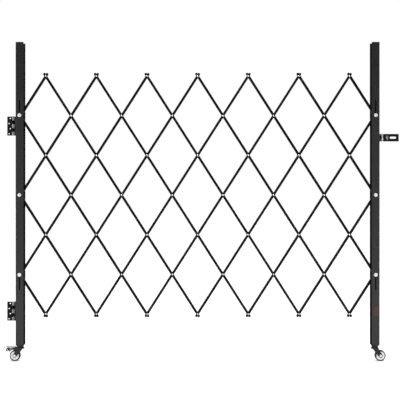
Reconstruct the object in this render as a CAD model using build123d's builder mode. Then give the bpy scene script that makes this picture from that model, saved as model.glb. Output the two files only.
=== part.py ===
from build123d import *
import os
from math import sqrt

# Folding security gate: a riveted scissor lattice between two channel posts on casters.
# The left post hangs on two hinges from a wall, the right post carries a hasp.
# X runs along the gate away from the wall hinges, Y points at the wall, Z points up.
# The origin is on the back face of the lower wall leaf, in the middle of its screw holes.

os.makedirs("parts", exist_ok=True)

# Whole gate, drawn open as far as its slots allow. The lattice is set in from both ends of
# the posts, the upper hinge hangs below their top and the hasp below the top bolt.
gate_height = 1524.0
post_spacing = 1699.0
folded_spacing = 221.0
lattice_top_inset = 159.5
lattice_bottom_inset = 147.3
upper_hinge_drop = 397.6
lower_hinge_height = 234.0
hasp_drop = 103.9

# Shared fits
running_clearance = 0.05
seat_gap = 0.1
bar_gap = 0.4
overrun = 1.0

# Hinges, which set where the origin is
leaf_thickness = 2.0
leaf_height = 92.0
wall_leaf_reach = 28.0
post_leaf_overlap = 9.5
leaf_corner = 2.5
knuckle_radius = 4.3
knuckle_count = 5
knuckle_gap = 0.3
knuckle_relief = 0.5
pin_radius = 2.5
pin_head_radius = 3.7
pin_head_height = 1.4
screw_hole_radius = 3.1
screw_pitch = 24.7
inner_screw_reach = 13.7
outer_screw_reach = 19.1
pin_to_post = 21.5
leaf_rivet_inset = 4.0

# Posts, folded from sheet, open towards the lattice
post_width = 38.0
post_depth = 38.0
post_wall = 2.0
post_bend = 3.0
post_lift = 76.0
foot_plate_thickness = 3.0

# Lattice
columns = 14
rows = 6
bar_width = 12.0
bar_depth = 7.0
bar_wall = 1.2
bar_bend = 1.0
bar_overhang = 17.0

# Rivets at the crossings
rivet_radius = 3.0
rivet_head_radius = 4.5
rivet_head_height = 2.4
rivet_edge = 0.6

# Bolts through the posts
bolt_radius = 3.0
bolt_head_flats = 10.0
bolt_head_height = 4.0
bolt_tail = 2.0
nut_height = 5.0
front_washer_radius = 8.8
rear_washer_radius = 7.0
washer_thickness = 1.5
spacer_radius = 4.5
slot_clearance = 0.3

# Small blind rivets that hold the leaf plates to the posts
small_rivet_radius = 1.6
small_rivet_head_radius = 3.2
small_rivet_head_height = 1.1
small_rivet_tail_radius = 2.3
small_rivet_tail_height = 1.8

# Hasp
hasp_leaf_height = 36.0
hasp_knuckle_count = 3
hasp_plate_reach = 46.0
hasp_rivet_reach = 35.0
hasp_rivet_pitch = 20.0
hasp_strap_reach = 80.0
hasp_slot_reach = 52.2
hasp_slot_length = 31.0
hasp_slot_height = 10.0
hasp_boss_reach = 23.5
hasp_boss_width = 11.0
hasp_boss_height = 19.0
hasp_boss_rise = 1.6

# Casters
wheel_radius = 25.5
wheel_width = 20.0
wheel_offset = 25.0
tyre_thickness = 5.5
tyre_shoulder = 3.5
hub_rim_width = 17.0
hub_rim_thickness = 2.5
hub_web_width = 8.0
hub_boss_radius = 7.5
hub_boss_width = 22.0
axle_radius = 4.0
axle_head_radius = 6.0
axle_head_height = 3.6
fork_thickness = 2.0
fork_inside = 23.0
fork_crown_radius = 19.0
fork_crown_flat = 9.0
fork_crown_wall = 2.5
fork_crown_height = 66.0
fork_top_width = 21.0
fork_top_drop = 7.0
fork_end_radius = 9.5
stem_radius = 5.0
stem_head_radius = 7.5
stem_head_height = 3.0
stem_rise = 12.0
stem_nut_flats = 17.0
stem_nut_height = 7.0
race_radius = 17.0
race_thickness = 5.0
race_round_share = 0.45
race_gap = 0.4

# Brake of the left caster; reaches and heights are from the stem's axis and from the floor
brake_pin_reach = 34.5
brake_pin_height = 59.5
brake_pin_radius = 2.5
brake_pin_head_radius = 4.0
brake_pin_head_height = 1.2
brake_lug_radius = 5.0
brake_lug_root_reach = 16.0
brake_sheet = 1.5
brake_side_gap = 0.3
brake_inner_reach = 22.0
brake_bend_reach = 69.0
brake_tip_reach = 85.0
brake_top_height = 68.0
brake_tip_height = 56.5
brake_roll_reach = 59.5
brake_roll_height = 54.5
brake_roll_radius = 7.5
brake_roll_bore = 3.5
brake_shoe_reach = 47.9
brake_shoe_height = 47.5
brake_shoe_radius = 2.0
brake_cheek_radius = 4.5
brake_neck_reach = 50.0
brake_neck_height = 59.0
brake_neck_radius = 2.5

# Places that follow from the sizes
pin_x = (inner_screw_reach + outer_screw_reach) / 2
pin_y = -knuckle_radius
floor_z = -lower_hinge_height
post_rear_y = -leaf_thickness
middle_y = post_rear_y - post_depth / 2
left_post_x = pin_x + pin_to_post + post_width / 2
right_post_x = left_post_x + post_spacing
right_pin_x = right_post_x + post_width / 2 + pin_to_post
post_bottom_z = floor_z + post_lift
post_length = gate_height - post_lift
post_top_z = post_bottom_z + post_length
half_column = post_spacing / columns
half_row = (post_length - lattice_top_inset - lattice_bottom_inset) / rows
link_length = sqrt(half_column**2 + half_row**2)
folded_half_row = sqrt(link_length**2 - (folded_spacing / columns) ** 2)
slot_travel = 2 * (folded_half_row - half_row)
slot_radius = bolt_radius + slot_clearance
middle_row = rows / 2
middle_z = post_bottom_z + lattice_bottom_inset + middle_row * half_row


def column_x(column):
    return left_post_x + column * half_column


def row_z(row):
    return middle_z + (middle_row - row) * half_row


def pivot(column, row):
    return (column_x(column), row_z(row))


def round_holes(places, radius):
    with BuildSketch(Plane.XZ) as holes:
        with Locations(*places):
            Circle(radius)
    return holes.sketch


# Hinge leaves. A leaf is a plate whose rolled knuckles stand proud of it towards the room.
# Each leaf keeps every other knuckle and is relieved round those of its partner.
def hinge_leaf(axis_x, centre_z, side, reach, height, count, first_kept, holes):
    pitch = height / count
    bottom_z = centre_z - height / 2
    relief = 2 * (knuckle_radius + knuckle_relief)
    with BuildPart() as leaf:
        with BuildSketch(Plane.XY.offset(bottom_z)):
            with Locations((axis_x + side * reach / 2, -leaf_thickness / 2)):
                Rectangle(reach, leaf_thickness)
            with Locations((axis_x, pin_y)):
                Circle(knuckle_radius)
        extrude(amount=height)
        for number in range(1 - first_kept, count, 2):
            with BuildSketch(Plane.XY.offset(bottom_z + number * pitch - knuckle_gap / 2)):
                with Locations((axis_x, pin_y)):
                    Rectangle(relief, relief)
            extrude(amount=pitch + knuckle_gap, mode=Mode.SUBTRACT)
        with Locations((axis_x, pin_y, centre_z)):
            Cylinder(pin_radius + running_clearance, height + overrun, mode=Mode.SUBTRACT)
        far_edges = leaf.edges().filter_by(Axis.Y).sort_by(Axis.X, reverse=side > 0)[:2]
        fillet(far_edges, radius=leaf_corner)
        extrude(holes, amount=leaf_thickness + overrun, both=True, mode=Mode.SUBTRACT)
    return leaf


def screw_places(centre_z):
    places = []
    for number in range(4):
        reach = outer_screw_reach if number % 2 == 0 else inner_screw_reach
        places.append((pin_x - reach, centre_z + (number - 3 / 2) * screw_pitch))
    return places


post_leaf_reach = pin_to_post + post_leaf_overlap
leaf_rivet_x = pin_x + post_leaf_reach - leaf_rivet_inset


def leaf_rivet_places(centre_z):
    return [(leaf_rivet_x, centre_z + (number - 3 / 2) * screw_pitch) for number in range(4)]


upper_hinge_z = post_top_z - upper_hinge_drop
lower_hinge_z = floor_z + lower_hinge_height

small_hole_radius = small_rivet_radius + running_clearance


def wall_leaf(centre_z):
    holes = round_holes(screw_places(centre_z), screw_hole_radius)
    return hinge_leaf(
        pin_x, centre_z, -1, wall_leaf_reach, leaf_height, knuckle_count, 0, holes
    )


def post_leaf(centre_z):
    holes = round_holes(leaf_rivet_places(centre_z), small_hole_radius)
    return hinge_leaf(
        pin_x, centre_z, 1, post_leaf_reach, leaf_height, knuckle_count, 1, holes
    )


upper_wall_leaf = wall_leaf(upper_hinge_z)
upper_wall_leaf.part.label = "upper_wall_leaf"
export_step(upper_wall_leaf.part, "parts/upper_wall_leaf.step")

lower_wall_leaf = wall_leaf(lower_hinge_z)
lower_wall_leaf.part.label = "lower_wall_leaf"
export_step(lower_wall_leaf.part, "parts/lower_wall_leaf.step")

upper_post_leaf = post_leaf(upper_hinge_z)
upper_post_leaf.part.label = "upper_post_leaf"
export_step(upper_post_leaf.part, "parts/upper_post_leaf.step")

lower_post_leaf = post_leaf(lower_hinge_z)
lower_post_leaf.part.label = "lower_post_leaf"
export_step(lower_post_leaf.part, "parts/lower_post_leaf.step")


# Hinge pins, with an upset head at each end
def headed_pin(axis_x, centre_z, height):
    head_z = height / 2 + seat_gap + pin_head_height / 2
    with Locations((axis_x, pin_y, centre_z)):
        Cylinder(pin_radius, height + 2 * seat_gap)
    with Locations((axis_x, pin_y, centre_z - head_z), (axis_x, pin_y, centre_z + head_z)):
        Cylinder(pin_head_radius, pin_head_height)


with BuildPart() as hinge_pins:
    headed_pin(pin_x, upper_hinge_z, leaf_height)
    headed_pin(pin_x, lower_hinge_z, leaf_height)
hinge_pins.part.label = "hinge_pins"
export_step(hinge_pins.part, "parts/hinge_pins.step")


# Blind rivets: a flat head on the leaf and a set tail inside the post
def blind_rivets(places):
    head_y = small_rivet_head_height / 2 + seat_gap
    tail_y = -leaf_thickness - post_wall - seat_gap - small_rivet_tail_height / 2
    shank_length = leaf_thickness + post_wall + 2 * seat_gap
    shank_y = -(leaf_thickness + post_wall) / 2
    across = (90, 0, 0)
    with BuildPart() as rivets:
        with Locations(*[(x, head_y, z) for x, z in places]):
            Cylinder(small_rivet_head_radius, small_rivet_head_height, rotation=across)
        with Locations(*[(x, tail_y, z) for x, z in places]):
            Cylinder(small_rivet_tail_radius, small_rivet_tail_height, rotation=across)
        with Locations(*[(x, shank_y, z) for x, z in places]):
            Cylinder(small_rivet_radius, shank_length, rotation=across)
        heads = rivets.edges().filter_by(GeomType.CIRCLE).group_by(Axis.Y)[-1]
        fillet(heads, radius=small_rivet_head_height / 2)
    return rivets


hinge_rivets = blind_rivets(leaf_rivet_places(upper_hinge_z) + leaf_rivet_places(lower_hinge_z))
hinge_rivets.part.label = "hinge_rivets"
export_step(hinge_rivets.part, "parts/hinge_rivets.step")

# Hasp on the right post: a fixed plate, its pin and a slotted strap for the padlock staple
hasp_z = row_z(1) - hasp_drop
hasp_rivet_x = right_pin_x - hasp_rivet_reach
hasp_rivet_places = [
    (hasp_rivet_x, hasp_z - hasp_rivet_pitch / 2),
    (hasp_rivet_x, hasp_z + hasp_rivet_pitch / 2),
]

hasp_plate = hinge_leaf(
    right_pin_x,
    hasp_z,
    -1,
    hasp_plate_reach,
    hasp_leaf_height,
    hasp_knuckle_count,
    1,
    round_holes(hasp_rivet_places, small_hole_radius),
)
hasp_plate.part.label = "hasp_plate"
export_step(hasp_plate.part, "parts/hasp_plate.step")

with BuildSketch(Plane.XZ) as staple_slot:
    with Locations((right_pin_x + hasp_slot_reach, hasp_z)):
        SlotOverall(hasp_slot_length, hasp_slot_height)
strap_blank = hinge_leaf(
    right_pin_x,
    hasp_z,
    1,
    hasp_strap_reach,
    hasp_leaf_height,
    hasp_knuckle_count,
    0,
    staple_slot.sketch,
)
with BuildPart() as strap_boss:
    with BuildSketch(Plane.XZ.offset(leaf_thickness)):
        with Locations((right_pin_x + hasp_boss_reach, hasp_z)):
            SlotOverall(hasp_boss_height, hasp_boss_width, rotation=90)
    extrude(amount=hasp_boss_rise)
    fillet(strap_boss.faces().sort_by(Axis.Y)[0].edges(), radius=hasp_boss_rise * 0.6)
with BuildPart() as hasp_strap:
    add(strap_blank.part)
    add(strap_boss.part)
hasp_strap.part.label = "hasp_strap"
export_step(hasp_strap.part, "parts/hasp_strap.step")

with BuildPart() as hasp_pin:
    headed_pin(right_pin_x, hasp_z, hasp_leaf_height)
hasp_pin.part.label = "hasp_pin"
export_step(hasp_pin.part, "parts/hasp_pin.step")

hasp_rivets = blind_rivets(hasp_rivet_places)
hasp_rivets.part.label = "hasp_rivets"
export_step(hasp_rivets.part, "parts/hasp_rivets.step")


# Posts. Each is a folded channel with a foot plate welded in for the caster's stem.
# The slots let the outer bolts ride apart as the lattice folds.
def channel_post(centre_x, outward, rivet_places):
    web_shift = -outward * (post_wall / 2 + overrun / 2)
    with BuildPart() as post:
        with BuildSketch(Plane.XY.offset(post_bottom_z)) as section:
            with Locations((centre_x, middle_y)):
                Rectangle(post_width, post_depth)
            outer_corners = section.vertices().sort_by(Axis.X, reverse=outward > 0)[:2]
            fillet(outer_corners, radius=post_bend)
        extrude(amount=post_length)
        with BuildSketch(Plane.XY.offset(post_bottom_z)) as hollow:
            with Locations((centre_x + web_shift, middle_y)):
                Rectangle(post_width - post_wall + overrun, post_depth - 2 * post_wall)
            inner_corners = hollow.vertices().sort_by(Axis.X, reverse=outward > 0)[:2]
            fillet(inner_corners, radius=post_bend - post_wall)
        extrude(amount=post_length, mode=Mode.SUBTRACT)
        with BuildSketch(Plane.XY.offset(post_bottom_z)):
            with Locations((centre_x - outward * post_wall / 2, middle_y)):
                Rectangle(post_width - post_wall, post_depth - post_wall)
            with Locations((centre_x, middle_y)):
                Circle(stem_radius + running_clearance, mode=Mode.SUBTRACT)
        extrude(amount=foot_plate_thickness)
        with BuildSketch(Plane.XZ.offset(-middle_y)):
            with Locations(
                (centre_x, row_z(1) + slot_travel / 2), (centre_x, row_z(rows - 1) - slot_travel / 2)
            ):
                SlotCenterToCenter(slot_travel, 2 * slot_radius, rotation=90)
            with Locations((centre_x, middle_z)):
                Circle(bolt_radius + running_clearance)
        extrude(amount=post_depth / 2 + overrun, both=True, mode=Mode.SUBTRACT)
        rivet_holes = round_holes(rivet_places, small_hole_radius)
        extrude(rivet_holes, amount=leaf_thickness + post_wall + overrun, mode=Mode.SUBTRACT)
    return post


left_post = channel_post(
    left_post_x, -1, leaf_rivet_places(upper_hinge_z) + leaf_rivet_places(lower_hinge_z)
)
left_post.part.label = "left_post"
export_step(left_post.part, "parts/left_post.step")

right_post = channel_post(right_post_x, 1, hasp_rivet_places)
right_post.part.label = "right_post"
export_step(right_post.part, "parts/right_post.step")


# Lattice bars: rolled channel with rounded ends, drilled where they cross.
# The falling bars lie in front with their hollow side out, the rising bars lie behind.
def lattice_bar(start, finish, falling):
    start_x, start_z = pivot(*start)
    finish_x, finish_z = pivot(*finish)
    crossings = abs(finish[0] - start[0])
    length = crossings * link_length
    open_side = -1 if falling else 1
    back_y = middle_y + open_side * bar_gap / 2
    bar_plane = Plane(
        origin=((start_x + finish_x) / 2, back_y, (start_z + finish_z) / 2),
        x_dir=(finish_x - start_x, 0, finish_z - start_z),
        z_dir=(0, open_side, 0),
    )
    with BuildPart() as bar:
        with BuildSketch(bar_plane):
            SlotOverall(length + 2 * bar_overhang, bar_width)
        extrude(amount=bar_depth)
        back_edges = bar.faces().sort_by(Axis.Y, reverse=falling)[0].edges()
        fillet(back_edges, radius=bar_bend)
        with BuildSketch(bar_plane.offset(bar_wall)):
            Rectangle(length + 2 * (bar_overhang + overrun), bar_width - 2 * bar_wall)
        extrude(amount=bar_depth, mode=Mode.SUBTRACT)
        with BuildSketch(bar_plane):
            with GridLocations(link_length, 0, crossings + 1, 1):
                Circle(rivet_radius + running_clearance)
        extrude(amount=bar_wall + overrun, both=True, mode=Mode.SUBTRACT)
    return bar


# A falling bar keeps column minus row, a rising bar keeps column plus row
def falling_ends(offset):
    return (max(0, offset), max(0, -offset)), (min(columns, offset + rows), min(rows, columns - offset))


def rising_ends(total):
    return (max(0, total - rows), min(rows, total)), (min(columns, total), max(0, total - columns))


falling_offsets = range(1 - rows, columns, 2)
rising_totals = range(1, columns + rows, 2)

for number, offset in enumerate(falling_offsets, start=1):
    falling_bar = lattice_bar(*falling_ends(offset), True)
    falling_bar.part.label = f"front_bar_{number}"
    export_step(falling_bar.part, f"parts/front_bar_{number}.step")

for number, total in enumerate(rising_totals, start=1):
    rising_bar = lattice_bar(*rising_ends(total), False)
    rising_bar.part.label = f"rear_bar_{number}"
    export_step(rising_bar.part, f"parts/rear_bar_{number}.step")

# Lattice rivets: one at each crossing away from the posts, with a domed head at both ends
web_y = bar_gap / 2 + bar_wall + seat_gap

with BuildPart() as rivet:
    with BuildSketch(Plane.XY):
        with BuildLine():
            Polyline(
                (0, -web_y - rivet_head_height),
                (rivet_edge, -web_y - rivet_head_height),
                (rivet_head_radius, -web_y - rivet_edge),
                (rivet_head_radius, -web_y),
                (rivet_radius, -web_y),
                (rivet_radius, web_y),
                (rivet_head_radius, web_y),
                (rivet_head_radius, web_y + rivet_edge),
                (rivet_edge, web_y + rivet_head_height),
                (0, web_y + rivet_head_height),
                close=True,
            )
        make_face()
    revolve(axis=Axis.Y)
    crowns = rivet.edges().filter_by(GeomType.CIRCLE).filter_by(
        lambda edge: abs(edge.center().Y) > web_y + rivet_edge / 2
    )
    fillet(crowns.filter_by(lambda edge: edge.radius > rivet_edge), radius=rivet_edge)

for number, offset in enumerate(falling_offsets, start=1):
    (start_column, start_row), (finish_column, finish_row) = falling_ends(offset)
    crossings = [
        (start_column + step, start_row + step)
        for step in range(finish_column - start_column + 1)
    ]
    riveted = [place for place in crossings if 0 < place[0] < columns]
    with BuildPart() as bar_rivets:
        with Locations(*[(column_x(c), middle_y, row_z(r)) for c, r in riveted]):
            add(rivet.part)
    bar_rivets.part.label = f"rivets_{number}"
    export_step(bar_rivets.part, f"parts/rivets_{number}.step")


# Post bolts: hexagon bolt, wide front washer, rear washer, nut and two spacer sleeves
bolt_bore = bolt_radius + running_clearance


def bolt_ring(rear_y, outer_radius):
    with BuildSketch(Plane.XZ.offset(-rear_y)) as ring:
        Circle(outer_radius)
        Circle(bolt_bore, mode=Mode.SUBTRACT)
    return ring.sketch


flange_face = post_depth / 2
flange_inside = flange_face - post_wall
washer_face = flange_face + seat_gap + washer_thickness
bolt_start = -washer_face - seat_gap
nut_start = washer_face + seat_gap
nut_end = nut_start + nut_height
spacer_length = flange_inside - seat_gap - web_y

with BuildPart() as bolt_unit:
    with BuildSketch(Plane.XZ.offset(-bolt_start)):
        RegularPolygon(bolt_head_flats / 2, 6, major_radius=False)
    extrude(amount=bolt_head_height)
    head_rim = bolt_unit.faces().sort_by(Axis.Y)[0].edges()
    chamfer(head_rim, length=bolt_head_height / 8)
    with BuildSketch(Plane.XZ.offset(-nut_end - bolt_tail)):
        Circle(bolt_radius)
    extrude(amount=nut_end + bolt_tail - bolt_start)
    with BuildSketch(Plane.XZ.offset(-nut_end)):
        RegularPolygon(bolt_head_flats / 2, 6, major_radius=False)
        Circle(bolt_bore, mode=Mode.SUBTRACT)
    extrude(amount=nut_height)
    extrude(bolt_ring(washer_thickness - washer_face, front_washer_radius), amount=washer_thickness)
    extrude(bolt_ring(washer_face, rear_washer_radius), amount=washer_thickness)
    extrude(bolt_ring(-web_y, spacer_radius), amount=spacer_length)
    extrude(bolt_ring(flange_inside - seat_gap, spacer_radius), amount=spacer_length)

bolt_places = {
    "left_top_bolt": (0, 1),
    "left_middle_bolt": (0, middle_row),
    "left_bottom_bolt": (0, rows - 1),
    "right_top_bolt": (columns, 1),
    "right_middle_bolt": (columns, middle_row),
    "right_bottom_bolt": (columns, rows - 1),
}
for bolt_name, (bolt_column, bolt_row) in bolt_places.items():
    with BuildPart() as post_bolt:
        with Locations((column_x(bolt_column), middle_y, row_z(bolt_row))):
            add(bolt_unit.part)
    post_bolt.part.label = bolt_name
    export_step(post_bolt.part, f"parts/{bolt_name}.step")


# Casters. Each hangs from a headed stem bolted through the post's foot plate, and its fork
# trails outwards with the wheel on a bolt through both legs.
crown_z = floor_z + fork_crown_height
crown_top_z = crown_z + fork_crown_wall
crown_bend = fork_crown_radius - fork_crown_flat
crown_rim_z = crown_top_z - crown_bend
race_z = crown_top_z + race_gap
collar_z = race_z + race_thickness
wheel_z = floor_z + wheel_radius
leg_face = fork_inside / 2
leg_back = leg_face + fork_thickness


def caster_stem(centre_x):
    stem_low_z = crown_z - seat_gap - stem_head_height
    nut_z = post_bottom_z + foot_plate_thickness + seat_gap
    stem_top_z = nut_z + stem_rise
    with BuildPart() as stem:
        with BuildSketch(Plane.XY.offset(stem_low_z)):
            with Locations((centre_x, middle_y)):
                Circle(stem_radius)
        extrude(amount=stem_top_z - stem_low_z)
        with BuildSketch(Plane.XY.offset(stem_low_z)):
            with Locations((centre_x, middle_y)):
                Circle(stem_head_radius)
        extrude(amount=stem_head_height)
        with BuildSketch(Plane.XY.offset(race_z)):
            with Locations((centre_x, middle_y)):
                Circle(race_radius)
        extrude(amount=race_thickness)
        with BuildSketch(Plane.XY.offset(collar_z)):
            with Locations((centre_x, middle_y)):
                RegularPolygon(stem_nut_flats / 2, 6, major_radius=False)
        extrude(amount=post_bottom_z - seat_gap - collar_z)
        with BuildSketch(Plane.XY.offset(nut_z)):
            with Locations((centre_x, middle_y)):
                RegularPolygon(stem_nut_flats / 2, 6, major_radius=False)
                Circle(stem_radius + running_clearance, mode=Mode.SUBTRACT)
        extrude(amount=stem_nut_height)
        race_rim = stem.edges().filter_by(GeomType.CIRCLE).filter_by(
            lambda edge: edge.radius > race_radius * 0.9
        )
        fillet(race_rim, radius=race_thickness * race_round_share)
    return stem


def caster_fork(centre_x, outward, braked):
    wheel_x = centre_x + outward * wheel_offset
    leg_plane = Plane.XZ.offset(-middle_y + leg_face)
    with BuildPart() as fork:
        with BuildSketch(leg_plane):
            with BuildSketch(mode=Mode.PRIVATE) as leg_ends:
                with Locations((wheel_x, wheel_z)):
                    Circle(fork_end_radius)
                with Locations((centre_x, crown_z - fork_top_drop / 2)):
                    Rectangle(fork_top_width, fork_top_drop)
            make_hull(leg_ends.edges())
            if braked:
                with BuildSketch(mode=Mode.PRIVATE) as lug_ends:
                    with Locations((centre_x + outward * brake_pin_reach, floor_z + brake_pin_height)):
                        Circle(brake_lug_radius)
                    with Locations((centre_x + outward * brake_lug_root_reach, floor_z + brake_pin_height)):
                        Circle(brake_lug_radius)
                make_hull(lug_ends.edges())
        extrude(amount=fork_thickness)
        mirror(about=Plane.XZ.offset(-middle_y))
        with BuildSketch(Plane.XZ.offset(-middle_y)):
            with BuildLine():
                Polyline(
                    (centre_x + fork_crown_flat, crown_z),
                    (centre_x, crown_z),
                    (centre_x, crown_top_z),
                    (centre_x + fork_crown_flat, crown_top_z),
                )
                CenterArc((centre_x + fork_crown_flat, crown_rim_z), crown_bend, 0, 90)
                Line(
                    (centre_x + fork_crown_radius, crown_rim_z),
                    (centre_x + fork_crown_radius - fork_crown_wall, crown_rim_z),
                )
                CenterArc(
                    (centre_x + fork_crown_flat, crown_rim_z), crown_bend - fork_crown_wall, 0, 90
                )
            make_face()
        revolve(axis=Axis((centre_x, middle_y, crown_z), (0, 0, 1)))
        with BuildSketch(Plane.XZ.offset(-middle_y)):
            with BuildLine():
                CenterArc((centre_x + fork_crown_flat, crown_rim_z), crown_bend, 0, 90)
                Polyline(
                    (centre_x + fork_crown_flat, crown_top_z),
                    (centre_x + fork_crown_radius, crown_top_z),
                    (centre_x + fork_crown_radius, crown_rim_z),
                )
            make_face()
        revolve(axis=Axis((centre_x, middle_y, crown_z), (0, 0, 1)), mode=Mode.SUBTRACT)
        with Locations((centre_x, middle_y, crown_z)):
            Cylinder(stem_radius + running_clearance, fork_crown_wall * 3, mode=Mode.SUBTRACT)
        with Locations((wheel_x, middle_y, wheel_z)):
            Cylinder(
                axle_radius + running_clearance, 3 * leg_back, rotation=(90, 0, 0), mode=Mode.SUBTRACT
            )
        if braked:
            with Locations(
                (centre_x + outward * brake_pin_reach, middle_y, floor_z + brake_pin_height)
            ):
                Cylinder(
                    brake_pin_radius + running_clearance,
                    3 * leg_back,
                    rotation=(90, 0, 0),
                    mode=Mode.SUBTRACT,
                )
    return fork


def caster_axle(centre_x, outward):
    wheel_x = centre_x + outward * wheel_offset
    head_y = leg_back + seat_gap + axle_head_height / 2
    with BuildPart() as axle:
        with Locations((wheel_x, middle_y, wheel_z)):
            Cylinder(axle_radius, 2 * (leg_back + seat_gap), rotation=(90, 0, 0))
        with Locations((wheel_x, middle_y - head_y, wheel_z), (wheel_x, middle_y + head_y, wheel_z)):
            Cylinder(axle_head_radius, axle_head_height, rotation=(90, 0, 0))
        crowns = axle.edges().filter_by(GeomType.CIRCLE).group_by(Axis.Y)
        fillet(crowns[0] + crowns[-1], radius=axle_head_height / 3)
    return axle


def turned_about_wheel(wheel_x, half_profile):
    mirrored = [(radius, -half_width) for radius, half_width in reversed(half_profile)]
    points = [
        (wheel_x + radius, middle_y + half_width) for radius, half_width in half_profile + mirrored
    ]
    with BuildPart() as turned:
        with BuildSketch(Plane.XY.offset(wheel_z)):
            with BuildLine():
                Polyline(*points, close=True)
            make_face()
        revolve(axis=Axis((wheel_x, middle_y, wheel_z), (0, 1, 0)))
    return turned


hub_rim_radius = wheel_radius - tyre_thickness


def wheel_hub(centre_x, outward):
    bore = axle_radius + running_clearance
    rim_inside = hub_rim_radius - hub_rim_thickness
    return turned_about_wheel(
        centre_x + outward * wheel_offset,
        [
            (bore, hub_boss_width / 2),
            (hub_boss_radius, hub_boss_width / 2),
            (hub_boss_radius, hub_web_width / 2),
            (rim_inside, hub_web_width / 2),
            (rim_inside, hub_rim_width / 2),
            (hub_rim_radius, hub_rim_width / 2),
        ],
    )


def wheel_tyre(centre_x, outward):
    tyre_blank = turned_about_wheel(
        centre_x + outward * wheel_offset,
        [
            (hub_rim_radius + running_clearance, wheel_width / 2),
            (wheel_radius, wheel_width / 2),
        ],
    )
    with BuildPart() as tyre:
        add(tyre_blank.part)
        treads = tyre.edges().filter_by(GeomType.CIRCLE).group_by(SortBy.RADIUS)[-1]
        fillet(treads, radius=tyre_shoulder)
    return tyre


for side_name, stem_x, outward in (("left", left_post_x, -1), ("right", right_post_x, 1)):
    stem = caster_stem(stem_x)
    stem.part.label = f"{side_name}_caster_stem"
    export_step(stem.part, f"parts/{side_name}_caster_stem.step")
    fork = caster_fork(stem_x, outward, side_name == "left")
    fork.part.label = f"{side_name}_fork"
    export_step(fork.part, f"parts/{side_name}_fork.step")
    axle = caster_axle(stem_x, outward)
    axle.part.label = f"{side_name}_axle"
    export_step(axle.part, f"parts/{side_name}_axle.step")
    hub = wheel_hub(stem_x, outward)
    hub.part.label = f"{side_name}_hub"
    export_step(hub.part, f"parts/{side_name}_hub.step")
    tyre = wheel_tyre(stem_x, outward)
    tyre.part.label = f"{side_name}_tyre"
    export_step(tyre.part, f"parts/{side_name}_tyre.step")

# Brake lever of the left caster: a bent sheet pedal between two cheeks, with a rolled
# sleeve and a cross bar that is pressed on the tyre when the pedal goes down
cheek_face = leg_back + brake_side_gap
cheek_back = cheek_face + brake_sheet


def brake_point(reach, height):
    return (left_post_x - reach, floor_z + height)


with BuildPart() as brake_lever:
    with BuildSketch(Plane.XZ.offset(-middle_y + cheek_face)):
        with BuildSketch(mode=Mode.PRIVATE) as upper_ends:
            with Locations(brake_point(brake_pin_reach, brake_pin_height)):
                Circle(brake_cheek_radius)
            with Locations(brake_point(brake_neck_reach, brake_neck_height)):
                Circle(brake_neck_radius)
            with Locations(
                brake_point(brake_pin_reach, brake_top_height - brake_sheet),
                brake_point(brake_neck_reach, brake_top_height - brake_sheet),
            ):
                Circle(brake_sheet / 2)
        make_hull(upper_ends.edges())
        with BuildSketch(mode=Mode.PRIVATE) as roll_ends:
            with Locations(brake_point(brake_neck_reach, brake_neck_height)):
                Circle(brake_neck_radius)
            with Locations(brake_point(brake_roll_reach, brake_roll_height)):
                Circle(brake_roll_radius)
        make_hull(roll_ends.edges())
        with BuildSketch(mode=Mode.PRIVATE) as shoe_ends:
            with Locations(brake_point(brake_neck_reach, brake_neck_height)):
                Circle(brake_neck_radius)
            with Locations(brake_point(brake_shoe_reach, brake_shoe_height)):
                Circle(brake_shoe_radius)
        make_hull(shoe_ends.edges())
    extrude(amount=brake_sheet)
    mirror(about=Plane.XZ.offset(-middle_y))
    with BuildSketch(Plane.XZ.offset(-middle_y)):
        with BuildLine():
            Polyline(
                brake_point(brake_inner_reach, brake_top_height),
                brake_point(brake_bend_reach, brake_top_height),
                brake_point(brake_tip_reach, brake_tip_height),
                brake_point(brake_tip_reach - brake_sheet, brake_tip_height - brake_sheet),
                brake_point(brake_bend_reach - brake_sheet / 2, brake_top_height - brake_sheet),
                brake_point(brake_inner_reach, brake_top_height - brake_sheet),
                close=True,
            )
        make_face()
    extrude(amount=cheek_back, both=True)
    with BuildSketch(Plane.XZ.offset(-middle_y)):
        with Locations(brake_point(brake_roll_reach, brake_roll_height)):
            Circle(brake_roll_radius)
        with Locations(brake_point(brake_shoe_reach, brake_shoe_height)):
            Circle(brake_shoe_radius)
    extrude(amount=cheek_back, both=True)
    with BuildSketch(Plane.XZ.offset(-middle_y)):
        with Locations(brake_point(brake_roll_reach, brake_roll_height)):
            Circle(brake_roll_bore)
        with Locations(brake_point(brake_pin_reach, brake_pin_height)):
            Circle(brake_pin_radius + running_clearance)
    extrude(amount=cheek_back + overrun, both=True, mode=Mode.SUBTRACT)
brake_lever.part.label = "brake_lever"
export_step(brake_lever.part, "parts/brake_lever.step")

brake_pin_x, brake_pin_z = brake_point(brake_pin_reach, brake_pin_height)
pin_head_y = cheek_back + seat_gap + brake_pin_head_height / 2
with BuildPart() as brake_pin:
    with Locations((brake_pin_x, middle_y, brake_pin_z)):
        Cylinder(brake_pin_radius, 2 * (cheek_back + seat_gap), rotation=(90, 0, 0))
    with Locations(
        (brake_pin_x, middle_y - pin_head_y, brake_pin_z),
        (brake_pin_x, middle_y + pin_head_y, brake_pin_z),
    ):
        Cylinder(brake_pin_head_radius, brake_pin_head_height, rotation=(90, 0, 0))
brake_pin.part.label = "brake_pin"
export_step(brake_pin.part, "parts/brake_pin.step")
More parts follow.
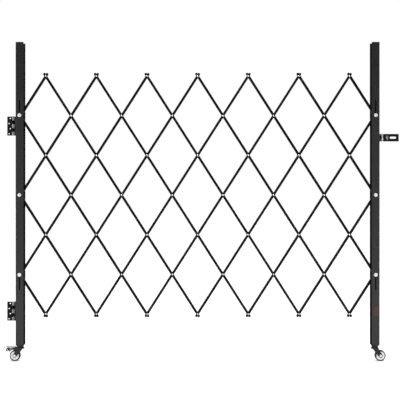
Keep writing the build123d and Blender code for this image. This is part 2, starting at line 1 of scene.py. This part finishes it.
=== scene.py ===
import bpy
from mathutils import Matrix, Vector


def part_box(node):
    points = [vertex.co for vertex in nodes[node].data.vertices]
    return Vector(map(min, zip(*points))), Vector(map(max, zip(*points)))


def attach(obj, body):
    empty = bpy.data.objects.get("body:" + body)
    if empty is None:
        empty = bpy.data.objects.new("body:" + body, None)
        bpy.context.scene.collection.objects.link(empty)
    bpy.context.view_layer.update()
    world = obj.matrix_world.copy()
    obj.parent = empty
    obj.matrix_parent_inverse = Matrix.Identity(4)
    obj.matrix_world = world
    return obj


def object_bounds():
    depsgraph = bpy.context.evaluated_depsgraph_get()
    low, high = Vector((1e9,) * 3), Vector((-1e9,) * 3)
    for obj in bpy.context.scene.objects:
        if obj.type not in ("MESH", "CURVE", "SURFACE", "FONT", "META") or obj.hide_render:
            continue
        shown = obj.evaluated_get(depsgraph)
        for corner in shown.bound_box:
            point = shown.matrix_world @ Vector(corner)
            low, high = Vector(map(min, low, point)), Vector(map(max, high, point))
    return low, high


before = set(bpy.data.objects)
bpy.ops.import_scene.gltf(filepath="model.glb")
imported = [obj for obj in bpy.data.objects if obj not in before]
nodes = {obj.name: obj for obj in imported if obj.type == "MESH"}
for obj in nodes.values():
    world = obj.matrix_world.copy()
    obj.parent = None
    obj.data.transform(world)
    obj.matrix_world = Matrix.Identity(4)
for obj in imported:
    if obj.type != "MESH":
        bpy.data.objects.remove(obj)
cad_box = [list(corner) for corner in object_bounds()]

from math import pi, radians, sin

import bmesh
import bpy
from mathutils import Matrix, Vector

# Hinges. Two five-knuckle hinges of 2 mm steel carry the gate: the wall leaves are screwed to
# the frame of the doorway, the post leaves are riveted behind the left post. The sheet is
# dipped in matt black, and the wall leaves' knuckles carry a painted highlight of bright grey.


class Wire:
    """One output of a shader node, on which a sum adds Math nodes."""

    def __init__(self, bench, socket):
        self.bench = bench
        self.socket = socket

    def math(self, operation, first, second=0.0):
        return self.bench.node("ShaderNodeMath", {"operation": operation}, {0: first, 1: second})

    def __add__(self, other):
        return self.math("ADD", self, other)

    def __sub__(self, other):
        return self.math("SUBTRACT", self, other)

    def __rsub__(self, other):
        return self.math("SUBTRACT", other, self)

    def __mul__(self, other):
        return self.math("MULTIPLY", self, other)

    def __truediv__(self, other):
        return self.math("DIVIDE", self, other)

    def __abs__(self):
        return self.math("ABSOLUTE", self)

    __radd__ = __add__
    __rmul__ = __mul__


class Bench:
    """A node tree, and the few ways in which nodes are laid in it."""

    def __init__(self, tree):
        self.tree = tree
        tree.nodes.clear()

    def node(self, kind, settings, sockets, output=0):
        made = self.tree.nodes.new(kind)
        for name, value in settings.items():
            setattr(made, name, value)
        for name, value in sockets.items():
            if isinstance(value, Wire):
                self.tree.links.new(value.socket, made.inputs[name])
            else:
                made.inputs[name].default_value = value
        return Wire(self, made.outputs[output]) if made.outputs else None

    def step(self, value, low, high):
        """0 at low and 1 at high, smooth between them."""
        return self.node(
            "ShaderNodeMapRange",
            {"interpolation_type": "SMOOTHSTEP"},
            {"Value": value, "From Min": low, "From Max": high, "To Min": 0.0, "To Max": 1.0},
        )

    def zigzag(self, value):
        """0.5 at each whole number and 0 halfway between them, in straight runs."""
        part = self.node("ShaderNodeMath", {"operation": "FRACT"}, {0: value})
        return abs(part - 0.5)

    def axes(self, vector):
        """The three parts of a vector."""
        parts = self.node("ShaderNodeSeparateXYZ", {}, {0: vector}).socket.node.outputs
        return [Wire(self, part) for part in parts]


class Finish(Bench):
    """A surface finish: one Principled shader and the nodes that vary it."""

    def __init__(self, name, fixed):
        self.material = bpy.data.materials.new(name)
        self.material.use_nodes = True
        super().__init__(self.material.node_tree)
        surface = self.node("ShaderNodeBsdfPrincipled", {}, fixed)
        self.shader = surface.socket.node
        self.node("ShaderNodeOutputMaterial", {}, {"Surface": surface})

    def place(self, centre=(0.0, 0.0, 0.0), stretch=(1.0, 1.0, 1.0)):
        """Object coordinates about a centre, with each axis stretched."""
        told = self.node("ShaderNodeTexCoord", {}, {}, "Object")
        moved = self.node("ShaderNodeVectorMath", {"operation": "SUBTRACT"}, {0: told, 1: centre})
        return self.node("ShaderNodeVectorMath", {"operation": "MULTIPLY"}, {0: moved, 1: stretch})

    def away(self, centre, across):
        """The distance from an axis through a centre, where across is 0 along that axis."""
        flat = self.place(centre, across)
        return self.node("ShaderNodeVectorMath", {"operation": "LENGTH"}, {0: flat}, "Value")

    def grain(self, scale, detail=2.0, where=None):
        """Cloudy noise from 0 to 1, with scale in lumps a metre."""
        where = where or self.place()
        sockets = {"Vector": where, "Scale": scale, "Detail": detail}
        return self.node("ShaderNodeTexNoise", {}, sockets, "Fac")

    def blend(self, factor, first, second):
        """A colour between two, each a tone or a wire."""
        sockets = {"Factor": factor, 6: first, 7: second}
        return self.node("ShaderNodeMix", {"data_type": "RGBA"}, sockets, 2)

    def feed(self, **wires):
        for socket, wire in wires.items():
            self.tree.links.new(wire.socket, self.shader.inputs[socket.replace("_", " ")])

    def relief(self, height, depth, strength):
        sockets = {"Strength": strength, "Distance": depth, "Height": height}
        self.feed(Normal=self.node("ShaderNodeBump", {}, sockets))


def tone(red, green=None, blue=None):
    """A colour; one value alone is a grey."""
    return (red, red if green is None else green, red if blue is None else blue, 1.0)


def dress(node, material):
    """Gives every material slot of a CAD node the finish."""
    for slot in nodes[node].material_slots:
        slot.material = material


def middle(node):
    low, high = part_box(node)
    return (low + high) / 2


knuckle_radius = 0.00435
knuckle_fade = 0.00035
sheet_front = -0.0026
raised_front = -0.0032


def leaf_black(name, pin=None, steel=0.3):
    """Matt black dip. Where a pin is given, a painted highlight of bright metallic grey (tone
    steel) lies on the rolled knuckles round it, and a third as much on what stands up from the
    sheet."""
    finish = Finish(name, {"Specular IOR Level": 0.1})
    cloud = finish.grain(70.0, 4.0)
    chips = finish.step(finish.grain(520.0, 4.0), 0.69, 0.76)
    black = finish.blend(cloud, tone(0.0012), tone(0.0035))
    black = finish.blend(chips * 0.5, black, tone(0.05))
    if pin:
        off_pin = finish.away(pin, (1.0, 1.0, 0.0))
        depth = finish.axes(finish.place())[1]
        knuckle = 1.0 - finish.step(off_pin, knuckle_radius, knuckle_radius + knuckle_fade)
        raised = 1.0 - finish.step(depth, raised_front, sheet_front)
        # painted highlight: bright grey laid on the knuckles and raised parts, in patches
        highlight_patches = 0.75 + 0.25 * finish.step(finish.grain(110.0, 3.0), 0.35, 0.55)
        painted_knuckle_highlight = (0.3 * raised + 0.7 * knuckle) * highlight_patches
        black = finish.blend(painted_knuckle_highlight, black, tone(steel))
        finish.feed(Metallic=0.9 * knuckle)
    finish.feed(Base_Color=black, Roughness=0.4 + 0.15 * cloud + 0.1 * chips)
    finish.relief(finish.grain(900.0, 3.0), 0.00005, 0.5)
    return finish.material


plain_leaf = leaf_black("matt_black_leaf")
# the wall leaves take the finish with the painted highlight on its knuckles
leaf_with_painted_highlight = leaf_black("matt_black_leaf_painted_highlight_at_knuckles", tuple(middle("hinge_pins")))
for height in ("upper", "lower"):
    dress(f"{height}_wall_leaf", leaf_with_painted_highlight)
    dress(f"{height}_post_leaf", plain_leaf)

# Hinge pins and rivets. Zinc plated steel like all the small fasteners: a bright plate with
# cloudy, slightly yellow patches, duller where tools have held it.


def zinc_plate(name, bright, dull, rough, cloud, thread=None):
    """Zinc with cloud lumps a metre. A thread is its axis, its start and its pitch."""
    finish = Finish(name, {"Metallic": 1.0})
    clouds = finish.grain(cloud, 3.0)
    marks = finish.step(finish.grain(cloud * 9.0, 3.0), 0.58, 0.72)
    plate = finish.blend(clouds, bright, dull)
    plate = finish.blend(marks * 0.3, plate, tone(0.4))
    finish.feed(Base_Color=plate, Roughness=rough + 0.12 * clouds + 0.1 * marks)
    bumps = finish.grain(cloud * 14.0, 2.0) * 0.1
    if thread:
        axis, start, pitch = thread
        along = finish.axes(finish.place())[axis]
        turns = finish.zigzag(along / pitch) * 4.0
        bumps = bumps + turns * finish.step(along, start, start + pitch * 0.2)
    finish.relief(bumps, 0.0002, 0.8)
    return finish.material


zinc = zinc_plate("zinc_plate", tone(0.9, 0.91, 0.93), tone(0.83, 0.81, 0.76), 0.32, 150.0)
dress("hinge_pins", zinc)
dress("hinge_rivets", zinc)

# Posts. Each is a 38 mm channel folded from 2 mm sheet and open towards the lattice. A foot
# plate for the caster's stem is welded in with a rippled bead, and then all is powder coated
# in a black with fine orange peel, which the bars and hands scuff along its length.
edge_inside = 0.0001
edge_outside = 0.0004


def powder_coat(name, black, grey, gloss, rough, scuffed, edges=None):
    """Black coat with dust and long scuffs. Where edges gives a middle and a reach along the
    gate, the coat is thin and matt on the cut edges that lie just within that reach."""
    finish = Finish(name, {"Specular IOR Level": gloss})
    dust = finish.grain(9.0, 4.0)
    lines = finish.place(stretch=scuffed)
    scuffs = finish.step(finish.grain(260.0, 4.0, lines), 0.64, 0.74)
    coat = finish.blend(dust, black, grey)
    coat = finish.blend(scuffs * 0.3, coat, tone(0.045))
    roughness = rough + 0.08 * dust + 0.12 * scuffs
    if edges:
        gate_middle, reach = edges
        across = abs(finish.axes(finish.place())[0] - gate_middle)
        coated = finish.step(across, reach + edge_inside, reach + edge_outside)
        roughness = roughness + 0.65 * (1.0 - coated)
    finish.feed(Base_Color=coat, Roughness=roughness)
    finish.relief(finish.grain(620.0, 3.0), 0.00005, 0.5)
    return finish.material


left_inside, right_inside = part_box("left_post")[1].x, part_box("right_post")[0].x
post_edges = (left_inside + right_inside) / 2, (right_inside - left_inside) / 2
post_coat = powder_coat(
    "black_powder_coat", tone(0.004), tone(0.008), 0.37, 0.2, (1.0, 1.0, 0.045), post_edges
)


def make_object(name, mesh_maker, material):
    """Turns what the maker builds in a bmesh into an object with its finish."""
    shape = bmesh.new()
    mesh_maker(shape)
    mesh = bpy.data.meshes.new(name)
    shape.to_mesh(mesh)
    shape.free()
    mesh.materials.append(material)
    made = bpy.data.objects.new(name, mesh)
    bpy.context.scene.collection.objects.link(made)
    return made


def make_piece(name, mesh_maker, material, body):
    """Adds a piece to the gate, shaded smooth up to its sharp edges, on the body it rides."""
    piece = make_object(name, mesh_maker, material)
    for face in piece.data.polygons:
        face.use_smooth = True
    piece.data.set_sharp_from_angle(angle=radians(35.0))
    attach(piece, body)


post_wall = 0.002
foot_plate = 0.003
bead_radius = 0.0019
bead_inset = 0.0007
bead_run = 0.031
ripple_pitch = 0.0009
ripple_swell = 0.08
ripple_beat = 2.4


def foot_weld(post, open_side):
    """Ripples of weld along the web and both flanges, on top of the foot plate."""
    low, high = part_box(post)
    inset = post_wall + bead_inset
    web_x = low.x + inset if open_side > 0 else high.x - inset
    end_x = web_x + bead_run * open_side
    rear, front = high.y - inset, low.y + inset
    top = low.z + foot_plate + bead_inset / 2
    runs = [
        (Vector((web_x, front, top)), Vector((web_x, rear, top))),
        (Vector((web_x, front, top)), Vector((end_x, front, top))),
        (Vector((web_x, rear, top)), Vector((end_x, rear, top))),
    ]

    def bead(shape):
        for start, end in runs:
            count = int((end - start).length / ripple_pitch)
            for number in range(count + 1):
                spot = Matrix.Translation(start.lerp(end, number / count))
                radius = bead_radius * (1.0 + ripple_swell * sin(number * ripple_beat))
                bmesh.ops.create_icosphere(shape, subdivisions=2, radius=radius, matrix=spot)

    return bead


for post, open_side in (("left_post", 1), ("right_post", -1)):
    dress(post, post_coat)
    weld = foot_weld(post, open_side)
    make_piece(f"{post}_foot_weld", weld, post_coat, post)

# Lattice bars. Ten front and ten rear channels of 1.2 mm sheet with the same coat, duller than
# on the posts, and scuffed where they rub on one another as the gate folds.
bar_numbers = range(1, 11)
bar_coat = powder_coat("lattice_coat", tone(0.0018), tone(0.004), 0.1, 0.24, (0.6, 1.0, 0.3))
for number in bar_numbers:
    dress(f"front_bar_{number}", bar_coat)
    dress(f"rear_bar_{number}", bar_coat)

# Rivets. One at each crossing of the bars away from the posts, set cold, with a domed head on
# both sides. Their zinc is the palest and the least glossy of all the fasteners'.
rivet_zinc = zinc_plate(
    "zinc_plate_on_rivets", tone(0.97, 0.97, 0.98), tone(0.9, 0.89, 0.86), 0.42, 150.0
)
for number in bar_numbers:
    dress(f"rivets_{number}", rivet_zinc)

# Bolts. Six through the posts: hexagon bolts on wide washers, nuts behind, and sleeves that
# hold the lattice bars in the middle of the channel. The tails show their thread.
nut_back = 0.0066
bolt_pitch = 0.001
tail_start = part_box("left_post")[1].y + nut_back
bolt_zinc = zinc_plate(
    "zinc_plate_on_bolts", tone(0.8, 0.81, 0.83), tone(0.68, 0.67, 0.64), 0.34, 120.0,
    thread=(1, tail_start, bolt_pitch),
)
for side in ("left", "right"):
    for height in ("top", "middle", "bottom"):
        dress(f"{side}_{height}_bolt", bolt_zinc)

# Hasp. A short plate riveted behind the right post, a pin, and a strap with a pressed boss and
# a slot that the padlock's staple passes through, dipped black like the hinges, with a brighter
# painted highlight on its knuckles and boss.
hasp_with_painted_highlight = leaf_black("matt_black_hasp_painted_highlight_at_knuckles", tuple(middle("hasp_pin")), steel=0.5)
for part in ("hasp_plate", "hasp_strap"):
    dress(part, hasp_with_painted_highlight)
for part in ("hasp_pin", "hasp_rivets"):
    dress(part, zinc)

# Blank plate. A thin plate of dark red vinyl, cut from sheet with rounded corners and stuck
# low on the front of the right post.
plate_width = 0.026
plate_height = 0.054
plate_thickness = 0.0005
plate_corner = 0.003
plate_rim = 0.00012
plate_reach = 0.0192
plate_level = 0.0085
post_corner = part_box("right_post")[0]
plate_centre = Vector((post_corner.x + plate_reach, post_corner.y, plate_level))


def vinyl():
    finish = Finish("dark_red_vinyl", {"IOR": 1.46})
    cloud = finish.grain(90.0, 3.0)
    finish.feed(
        Base_Color=finish.blend(cloud, tone(0.02, 0.0035, 0.0045), tone(0.032, 0.006, 0.007)),
        Roughness=0.22 + 0.14 * cloud,
    )
    finish.relief(finish.grain(500.0, 3.0), 0.00004, 0.4)
    return finish.material


def round_edges(shape, edges, radius, segments):
    bmesh.ops.bevel(
        shape, geom=edges, offset=radius, segments=segments, profile=0.5, affect="EDGES",
        material=-1,
    )


def blank_plate(shape):
    """Its corners, edges with one end in front, are rounded first, and then its front rim."""
    size = Matrix.Diagonal((plate_width, plate_thickness, plate_height, 1.0))
    bmesh.ops.create_cube(shape, size=1.0, matrix=Matrix.Translation(plate_centre) @ size)

    def edges_in_front(ends):
        return [e for e in shape.edges if sum(v.co.y < plate_centre.y for v in e.verts) == ends]

    round_edges(shape, edges_in_front(1), plate_corner, 5)
    round_edges(shape, edges_in_front(2), plate_rim, 2)


make_piece("blank_plate", blank_plate, vinyl(), "right_post")

# Casters. The stem with its race and collar is blackened steel, bright where its nut sits in
# the post. The fork is a stamped crown with two legs, stiffened by pressed ribs, and painted
# black; a plated axle bolt carries the wheel.
floor_z = cad_box[0][2]
foot_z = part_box("left_post")[0].z
nut_top = foot_z + 0.0101
stem_pitch = 0.0015


def stem_steel():
    finish = Finish("blackened_stem_steel", {"Metallic": 1.0})
    height = finish.axes(finish.place())[2]
    in_post = finish.step(height, foot_z + 0.001, foot_z + 0.002)
    cloud = finish.grain(140.0, 3.0)
    dark = finish.blend(cloud, tone(0.03), tone(0.075, 0.073, 0.07))
    finish.feed(
        Base_Color=finish.blend(in_post, dark, tone(0.8, 0.8, 0.78)),
        Roughness=0.3 + 0.15 * cloud,
    )
    thread = finish.zigzag(height / stem_pitch) * finish.step(height, nut_top, nut_top + 0.0003)
    finish.relief(thread * 4.0 + 0.1 * finish.grain(1500.0, 2.0), 0.0002, 0.8)
    return finish.material


def fork_paint():
    finish = Finish("black_fork_paint", {"Specular IOR Level": 0.35})
    clouds = finish.grain(60.0, 3.0)
    chips = finish.step(finish.grain(420.0, 4.0), 0.68, 0.76)
    paint = finish.blend(clouds, tone(0.002), tone(0.005))
    paint = finish.blend(chips * 0.5, paint, tone(0.08, 0.078, 0.075))
    finish.feed(Base_Color=paint, Roughness=0.2 + 0.15 * clouds + 0.2 * chips)
    finish.relief(finish.grain(900.0, 2.0), 0.00003, 0.4)
    return finish.material


fork_black = fork_paint()
stem_finish = stem_steel()
axle_head = 0.0037
fork_rib_length = 0.024
fork_rib_width = 0.0036
fork_rib_rise = 0.0011
fork_rib_round = fork_rib_rise * 0.95
fork_rib_drop = 0.006
fork_rib_middle = 0.0185
fork_rib_shift = 0.0046


def rounded_block(shape, matrix, radius, segments):
    """A unit cube stretched and set by a matrix, with all its edges rounded."""
    corners = set(bmesh.ops.create_cube(shape, size=1.0, matrix=matrix)["verts"])
    edges = [edge for edge in shape.edges if edge.verts[0] in corners]
    round_edges(shape, edges, radius, segments)


def fork_ribs(side):
    """Two pressed ribs on the outside of each leg, from under the crown towards the axle."""
    axle = middle(f"{side}_axle")
    stem = middle(f"{side}_caster_stem")
    top = Vector((stem.x, axle.y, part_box(f"{side}_fork")[1].z - fork_rib_drop))
    along = (axle - top).normalized()
    across = along.cross(Vector((0.0, 1.0, 0.0)))
    axle_low, axle_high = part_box(f"{side}_axle")
    leg_face = (axle_high.y - axle_low.y) / 2 - axle_head

    def ribs(shape):
        size = Matrix.Diagonal((fork_rib_width, fork_rib_rise * 2.0, fork_rib_length, 1.0))
        for way in (-1.0, 1.0):
            out = Vector((0.0, way, 0.0))
            turn = Matrix((across, out, along)).transposed().to_4x4()
            for shift in (-fork_rib_shift, fork_rib_shift):
                spot = top + along * fork_rib_middle + across * shift + out * leg_face
                block = Matrix.Translation(spot) @ turn @ size
                rounded_block(shape, block, fork_rib_round, 4)
        bmesh.ops.recalc_face_normals(shape, faces=shape.faces)

    return ribs


for side in ("left", "right"):
    dress(f"{side}_caster_stem", stem_finish)
    dress(f"{side}_fork", fork_black)
    dress(f"{side}_axle", bolt_zinc)
    make_piece(f"{side}_fork_ribs", fork_ribs(side), fork_black, f"{side}_caster")

# Wheels. A hub moulded in white nylon, its web stiffened by eight ribs on both sides, and a
# black rubber tyre with fine turning rings on its walls.
ring_pitch = 0.0011


def nylon():
    finish = Finish("white_nylon", {"IOR": 1.53})
    dust = finish.grain(170.0, 4.0)
    finish.feed(
        Base_Color=finish.blend(dust, tone(0.97, 0.97, 0.965), tone(0.92, 0.917, 0.9)),
        Roughness=0.34 + 0.2 * dust,
    )
    finish.relief(finish.grain(800.0, 2.0), 0.00004, 0.4)
    return finish.material


def tyre_rubber(name, centre):
    finish = Finish(name, {"Specular IOR Level": 0.3})
    dust = finish.grain(300.0, 4.0)
    rings = finish.zigzag(finish.away(centre, (1.0, 0.0, 1.0)) / ring_pitch)
    finish.feed(
        Base_Color=finish.blend(dust, tone(0.003), tone(0.011, 0.0105, 0.01)),
        Roughness=0.55 + 0.25 * dust,
    )
    finish.relief(rings + 0.3 * finish.grain(1500.0, 3.0), 0.00012, 0.6)
    return finish.material


hub_nylon = nylon()
hub_boss_radius = 0.0072
hub_web_half = 0.0038
hub_rim_wall = 0.0023
hub_rib_count = 8
hub_rib_depth = 0.0028
hub_rib_thickness = 0.0015
hub_rib_round = 0.0003


def hub_ribs(side):
    """Eight ribs in each face of the hub, between its boss and its rim."""
    centre = middle(f"{side}_hub")
    hub_low, hub_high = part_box(f"{side}_hub")
    rim_inside = (hub_high.z - hub_low.z) / 2 - hub_rim_wall
    rib_x = (hub_boss_radius + rim_inside) / 2
    rib_y = hub_web_half + hub_rib_depth / 2

    def ribs(shape):
        size = Matrix.Diagonal(
            (rim_inside - hub_boss_radius, hub_rib_depth, hub_rib_thickness, 1.0)
        )
        for way in (-1.0, 1.0):
            spot = Matrix.Translation(centre + Vector((rib_x, way * rib_y, 0.0)))
            rounded_block(shape, spot @ size, hub_rib_round, 2)
        pair = list(shape.verts) + list(shape.edges) + list(shape.faces)
        more = hub_rib_count - 1
        bmesh.ops.spin(
            shape, geom=pair, cent=centre, axis=(0.0, 1.0, 0.0),
            angle=2.0 * pi * more / hub_rib_count, steps=more, use_duplicate=True,
        )
        bmesh.ops.recalc_face_normals(shape, faces=shape.faces)

    return ribs


for side in ("left", "right"):
    dress(f"{side}_hub", hub_nylon)
    dress(f"{side}_tyre", tyre_rubber(f"{side}_tyre_rubber", tuple(middle(f"{side}_hub"))))
    make_piece(f"{side}_hub_ribs", hub_ribs(side), hub_nylon, f"{side}_wheel")

# Brake. A pedal on the left caster alone: a plated sheet, bright on its tread and shoulders,
# dulled by shoes on its ridged ramp, with painted shade on it below. Its pin is black, its eye
# has a rivet.
stem_x = middle("left_post").x
pedal_y = middle("left_axle").y
pedal_top = 0.068
pedal_bend = 0.069
pedal_tip = 0.085
pedal_drop = 0.0115
tread_depth = 0.0021
shoulder_slope = 0.17


def pedal_sheet():
    """The underside of the tread is level as far as the bend, and then falls with the ramp."""
    finish = Finish("plated_pedal_sheet", {"Specular IOR Level": 0.3})
    across, _, height = finish.axes(finish.place())
    reach = stem_x - across
    past_bend = finish.node(
        "ShaderNodeMath", {"operation": "MAXIMUM"}, {0: reach - pedal_bend, 1: 0.0}
    )
    fall = past_bend * (pedal_drop / (pedal_tip - pedal_bend))
    above = height - (floor_z + pedal_top - tread_depth - fall)
    tread = finish.step(above, 0.0, 0.0003)
    shoulder = finish.step(above + (pedal_bend - reach) * shoulder_slope, -0.0008, 0.0008)
    ramp = finish.step(reach, pedal_bend - 0.001, pedal_bend + 0.001)
    cloud = finish.grain(120.0, 3.0)
    bright = finish.blend(cloud, tone(0.44, 0.445, 0.45), tone(0.34, 0.34, 0.335))
    bright = finish.blend(ramp, bright, finish.blend(cloud, tone(0.05), tone(0.03)))
    # painted shade: below the tread and its shoulders the sheet is drawn near black
    dark = finish.blend(cloud, tone(0.02), tone(0.05))
    dark = finish.blend(shoulder, dark, finish.blend(cloud, tone(0.4), tone(0.3)))
    finish.feed(
        Base_Color=finish.blend(tread, dark, bright),
        Roughness=0.36 + 0.14 * cloud + 0.35 * ramp,
        Metallic=1.0 - ramp,
    )
    finish.relief(finish.grain(1500.0, 3.0), 0.00004, 0.5)
    return finish.material


pedal_finish = pedal_sheet()
ridge_shares = (0.3, 0.55, 0.8)
ridge_width = 0.0018
ridge_height = 0.0014
ridge_span = 0.8
ridge_round = 0.00065


def pedal_ridges(shape):
    """Three rounded ridges across the sloping end of the pedal."""
    pedal_front, pedal_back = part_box("brake_lever")
    depth = (pedal_back.y - pedal_front.y) * ridge_span
    size = Matrix.Diagonal((ridge_width, depth, ridge_height, 1.0))
    for share in ridge_shares:
        reach = pedal_bend + share * (pedal_tip - pedal_bend)
        height = floor_z + pedal_top - share * pedal_drop
        spot = Matrix.Translation((stem_x - reach, pedal_y, height))
        rounded_block(shape, spot @ size, ridge_round, 3)


dress("brake_lever", pedal_finish)
dress("brake_pin", fork_black)
make_piece("pedal_ridges", pedal_ridges, pedal_finish, "brake_lever")

eye_reach = 0.0595
eye_height = 0.0545
rivet_crown = ((0.0, 0.0164), (0.0016, 0.0162), (0.0027, 0.0157), (0.0034, 0.0149))


def brake_eye_rivet(shape):
    """Half the rivet's outline, from crown to crown, turned about its own axis."""
    eye = Vector((stem_x - eye_reach, pedal_y, floor_z + eye_height))
    outline = [(radius, -side) for radius, side in rivet_crown]
    outline += [(radius, side) for radius, side in reversed(rivet_crown)]
    points = [shape.verts.new(eye + Vector((radius, side, 0.0))) for radius, side in outline]
    edges = [shape.edges.new(pair) for pair in zip(points, points[1:])]
    bmesh.ops.spin(
        shape, geom=points + edges, cent=eye, axis=(0.0, 1.0, 0.0), angle=2.0 * pi, steps=32,
        use_merge=True,
    )
    bmesh.ops.remove_doubles(shape, verts=shape.verts, dist=0.000001)
    bmesh.ops.recalc_face_normals(shape, faces=shape.faces)


make_piece("brake_eye_rivet", brake_eye_rivet, zinc, "brake_lever")

# Studio. A pale floor under the wheels and white surroundings behind. In front of the gate
# they are bright up to eye level and dim above and beside it, as in a room seen from a lit
# bay. A wide soft light hangs overhead, one hangs in front, and two stand at the sides.


def wide_floor(shape):
    bmesh.ops.create_grid(shape, x_segments=1, y_segments=1, size=40.0)
    bmesh.ops.translate(shape, vec=(0.0, 0.0, floor_z), verts=shape.verts)


paper = Finish("pale_floor", {"Roughness": 0.7, "Specular IOR Level": 0.2})
paper.feed(Base_Color=paper.blend(paper.grain(3.0), tone(0.93), tone(0.95)))
make_object("pale_floor", wide_floor, paper.material)

world = bpy.data.worlds.new("white_studio")
bpy.context.scene.world = world
world.use_nodes = True
sky = Bench(world.node_tree)
_, depth_part, height_part = sky.axes(sky.node("ShaderNodeTexCoord", {}, {}, "Generated"))
behind = sky.step(depth_part, 0.0, 0.3)
ahead = (1.0 - sky.step(depth_part, -0.75, -0.45)) * (1.0 - sky.step(height_part, 0.02, 0.24))
shine = 0.1 + 0.95 * (behind + ahead)
shell = sky.node("ShaderNodeBackground", {}, {"Color": tone(1.0), "Strength": shine})
seen = sky.node("ShaderNodeBackground", {}, {"Color": tone(1.0), "Strength": 1.0})
camera_ray = sky.node("ShaderNodeLightPath", {}, {}, "Is Camera Ray")
both = sky.node("ShaderNodeMixShader", {}, {0: camera_ray, 1: shell, 2: seen})
sky.node("ShaderNodeOutputWorld", {}, {"Surface": both})


def hang(light, place, target):
    """Puts a light at its place, turned to its target."""
    holder = bpy.data.objects.new(light.name, light)
    holder.location = place
    turn = (Vector(target) - Vector(place)).to_track_quat("-Z", "Y")
    holder.rotation_euler = turn.to_euler()
    bpy.context.scene.collection.objects.link(holder)


overhead = bpy.data.lights.new("overhead_sun", "SUN")
overhead.energy = 2.1
overhead.angle = radians(70.0)
hang(overhead, (0.9, 0.4, 5.0), (0.9, 0.0, 0.0))
for name, place, width, height, power in (
    ("left_softbox", (-3.2, -2.6, 1.2), 0.7, 2.0, 40.0),
    ("right_softbox", (5.0, -2.6, 1.2), 0.7, 2.0, 40.0),
    ("front_softbox", (0.9, -3.0, 3.4), 4.0, 1.2, 120.0),
):
    lamp = bpy.data.lights.new(name, "AREA")
    lamp.shape = "RECTANGLE"
    lamp.size, lamp.size_y = width, height
    lamp.energy = power
    hang(lamp, place, (0.9, 0.0, 0.3))

# Camera. It stands 3.3 m in front of the posts, level with the middle of the lattice, and
# its frame is shifted a little down and to the right, as the photograph's is.
lens = bpy.data.cameras.new("camera")
lens.sensor_width = 36.0
lens.lens = 62.33
lens.shift_x = 0.006
lens.shift_y = -0.0119
camera = bpy.data.objects.new("camera", lens)
camera.location = (0.9064, -3.342, 0.5588)
camera.rotation_euler = (pi / 2, 0.0, 0.0)
bpy.context.scene.collection.objects.link(camera)
bpy.context.scene.camera = camera
bpy.context.scene.view_settings.view_transform = "Standard"
